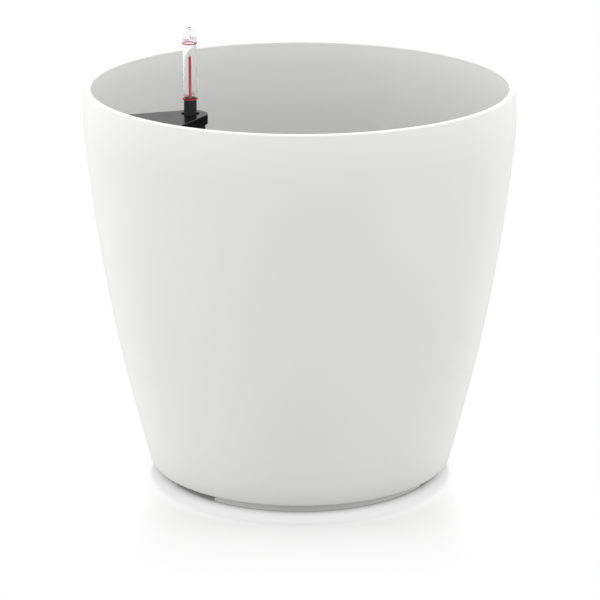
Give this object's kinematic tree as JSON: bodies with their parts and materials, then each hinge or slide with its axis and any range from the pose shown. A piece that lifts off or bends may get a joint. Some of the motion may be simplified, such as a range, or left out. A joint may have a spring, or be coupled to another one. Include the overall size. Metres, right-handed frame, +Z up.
{
  "type": "self-watering planter",
  "caption": "Round flared planter with a water reservoir under a perforated separator, a corner supply shaft with a cap, and a float gauge that shows the water level.",
  "frame": {"origin": "on the floor under the middle of the pot", "axes": "+Z up, -Y the front; the supply shaft stands front left, at 139.2 degrees clockwise from +X seen from above"},
  "size_m": [0.35, 0.35, 0.3854],
  "materials": {
    "planter_body": "high-gloss moulded polypropylene, white",
    "separator": "moulded polypropylene, anthracite",
    "shaft": "moulded polypropylene, black",
    "cap": "polished moulding, dark grey",
    "gauge_tube": "extruded tube, black",
    "bush": "turned acetal, black",
    "sight_tube": "clear moulded polystyrene",
    "marks": "printed red band",
    "float_cage": "moulded polypropylene, black",
    "float": "closed-cell foam, white",
    "clips": "spring steel push nuts",
    "rod": "extruded rod, white",
    "tip": "moulded rod, signal red",
    "plug": "moulded polypropylene, anthracite",
    "seal": "flat washer"
  },
  "bodies": {
    "planter": {"planter_shell": "planter_body"},
    "separator": {"separator_plate": "separator", "wick_leg_1": "separator", "wick_leg_2": "separator", "wick_leg_3": "separator", "wick_leg_4": "separator"},
    "shaft": {"supply_shaft": "shaft"},
    "cap": {"shaft_cap": "cap"},
    "gauge": {"gauge_tube": "gauge_tube", "rod_guide_bush": "bush", "sight_tube": "sight_tube", "low_mark_ring": "marks", "full_mark_ring": "marks", "float_cage": "float_cage", "cage_end_cap": "float_cage"},
    "float_and_rod": {"float": "float", "float_clip_lower": "clips", "float_clip_upper": "clips", "float_rod": "rod", "indicator_tip": "tip"},
    "plug_seal": {"drain_plug_seal": "seal"},
    "plug": {"drain_plug": "plug"}
  },
  "joints": [
    {"name": "separator_lift", "type": "slide", "parent": "planter", "child": "separator", "axis": [0, 0, 1], "range_m": [0, 0.315]},
    {"name": "shaft_lift", "type": "slide", "parent": "separator", "child": "shaft", "axis": [0, 0, 1], "range_m": [0, 0.27]},
    {"name": "cap_lift", "type": "slide", "parent": "shaft", "child": "cap", "axis": [0, 0, 1], "range_m": [0, 0.082]},
    {"name": "gauge_lift", "type": "slide", "parent": "shaft", "child": "gauge", "axis": [0, 0, 1], "range_m": [0, 0.31]},
    {"name": "float_travel", "type": "slide", "parent": "gauge", "child": "float_and_rod", "axis": [0, 0, 1], "range_m": [-0.0336, 0.0101]},
    {"name": "plug_travel", "type": "slide", "parent": "planter", "child": "plug_seal", "axis": [0, 0, -1], "range_m": [0, 0.0111]},
    {"name": "plug_turn", "type": "hinge", "parent": "plug_seal", "child": "plug", "pos_m": [0, 0, 0.004], "axis": [0, 0, -1], "range_deg": [0, 1320]}
  ],
  "couplings": [
    {"joint": "plug_travel", "follows": "plug_turn", "m_per_rad": 0.00047746}
  ]
}
